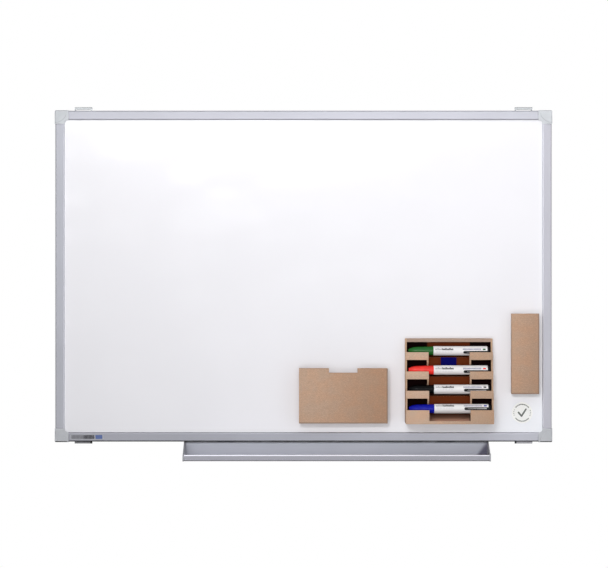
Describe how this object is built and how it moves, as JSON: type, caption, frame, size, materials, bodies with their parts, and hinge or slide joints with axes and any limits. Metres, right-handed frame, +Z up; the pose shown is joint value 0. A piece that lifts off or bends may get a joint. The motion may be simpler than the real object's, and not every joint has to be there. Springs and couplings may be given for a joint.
{
  "type": "wall whiteboard",
  "caption": "Landscape magnetic wall whiteboard in an aluminium frame, with a sliding pen tray, a marker rack, a card box and an eraser that hold to its surface.",
  "frame": {"origin": "centre of the four wall screw holes, on the wall plane", "axes": "+X to the right as seen from the front, +Y into the wall, +Z up; the writing surface faces -Y"},
  "size_m": [0.9016, 0.0739, 0.6395],
  "materials": {
    "enamelled_steel": "white fired enamel, high gloss",
    "core_chipboard": "raw chipboard edge",
    "backing_foil": "mill finish foil",
    "anodised_aluminium": "silver anodised, satin",
    "cap_plastic": "light grey moulding, fine grain",
    "bent_steel": "zinc plated sheet",
    "zinc_steel": "zinc plated",
    "black_plastic": "black moulding",
    "plate_film": "printed film, blank with a blue band",
    "paper_label": "white paper label with a plain ring and tick",
    "tray_end_plastic": "grey moulding",
    "fibreboard": "bare medium density fibreboard",
    "dark_fibreboard": "bare fibreboard, smoked face",
    "magnet_nickel": "nickel plated magnet",
    "felt": "dense grey felt",
    "marker_white": "white barrel",
    "marker_plug": "dark end plug",
    "blue_plastic": "deep blue",
    "cap_green": "green",
    "cap_red": "red",
    "cap_black": "black",
    "cap_blue": "blue",
    "ink_green": "fibre soaked in green ink",
    "ink_red": "fibre soaked in red ink",
    "ink_black": "fibre soaked in black ink",
    "ink_blue": "fibre soaked in blue ink"
  },
  "bodies": {
    "board": {"backing_sheet": "backing_foil", "bracket_stops": "black_plastic", "core_board": "core_chipboard", "corner_cap_bottom_left": "cap_plastic", "corner_cap_bottom_right": "cap_plastic", "corner_cap_top_left": "cap_plastic", "corner_cap_top_right": "cap_plastic", "corner_keys": "zinc_steel", "corner_set_screws": "zinc_steel", "name_plate": "plate_film", "rail_bottom": "anodised_aluminium", "rail_left": "anodised_aluminium", "rail_right": "anodised_aluminium", "rail_top": "anodised_aluminium", "round_label": "paper_label", "wall_bracket_bottom_left": "bent_steel", "wall_bracket_bottom_right": "bent_steel", "wall_clip_top_left": "bent_steel", "wall_clip_top_right": "bent_steel", "writing_surface": "enamelled_steel"},
    "pen_tray": {"tray_end_left": "tray_end_plastic", "tray_end_right": "tray_end_plastic", "tray_hook_screws": "zinc_steel", "tray_hooks": "zinc_steel", "tray_profile": "anodised_aluminium"},
    "card_box": {"card_box_back": "fibreboard", "card_box_floor": "fibreboard", "card_box_front": "fibreboard", "card_box_magnets": "magnet_nickel", "card_box_sides": "fibreboard"},
    "marker_rack": {"rack_back": "dark_fibreboard", "rack_floor": "fibreboard", "rack_gussets": "fibreboard", "rack_lips": "fibreboard", "rack_magnets": "magnet_nickel", "rack_risers": "dark_fibreboard", "rack_shelves": "fibreboard", "rack_sides": "fibreboard", "rack_top_board": "fibreboard", "spare_magnet": "blue_plastic"},
    "eraser": {"eraser_block": "fibreboard", "eraser_cover": "fibreboard", "eraser_magnets": "magnet_nickel", "eraser_pad": "felt"},
    "marker_green": {"marker_green_barrel": "marker_white", "marker_green_cap": "cap_green", "marker_green_ink_core": "ink_green", "marker_green_plug": "marker_plug"},
    "marker_red": {"marker_red_barrel": "marker_white", "marker_red_cap": "cap_red", "marker_red_ink_core": "ink_red", "marker_red_plug": "marker_plug"},
    "marker_black": {"marker_black_barrel": "marker_white", "marker_black_cap": "cap_black", "marker_black_ink_core": "ink_black", "marker_black_plug": "marker_plug"},
    "marker_blue": {"marker_blue_barrel": "marker_white", "marker_blue_cap": "cap_blue", "marker_blue_ink_core": "ink_blue", "marker_blue_plug": "marker_plug"}
  },
  "joints": [
    {"name": "tray_slide", "type": "slide", "parent": "board", "child": "pen_tray", "axis": [1, 0, 0], "range_m": [-0.163, 0.045]},
    {"name": "card_box_slide", "type": "slide", "parent": "board", "child": "card_box", "axis": [1, 0, 0], "range_m": [-0.42, 0.025]},
    {"name": "rack_slide", "type": "slide", "parent": "board", "child": "marker_rack", "axis": [0, 0, 1], "range_m": [-0.016, 0.39]},
    {"name": "eraser_slide", "type": "slide", "parent": "board", "child": "eraser", "axis": [0, 0, 1], "range_m": [-0.066, 0.345]},
    {"name": "marker_green_lift", "type": "slide", "parent": "marker_rack", "child": "marker_green", "axis": [0, -0.5736, 0.8192], "range_m": [0, 0.06]},
    {"name": "marker_red_lift", "type": "slide", "parent": "marker_rack", "child": "marker_red", "axis": [0, -0.5736, 0.8192], "range_m": [0, 0.06]},
    {"name": "marker_black_lift", "type": "slide", "parent": "marker_rack", "child": "marker_black", "axis": [0, -0.5736, 0.8192], "range_m": [0, 0.06]},
    {"name": "marker_blue_lift", "type": "slide", "parent": "marker_rack", "child": "marker_blue", "axis": [0, -0.5736, 0.8192], "range_m": [0, 0.06]}
  ]
}
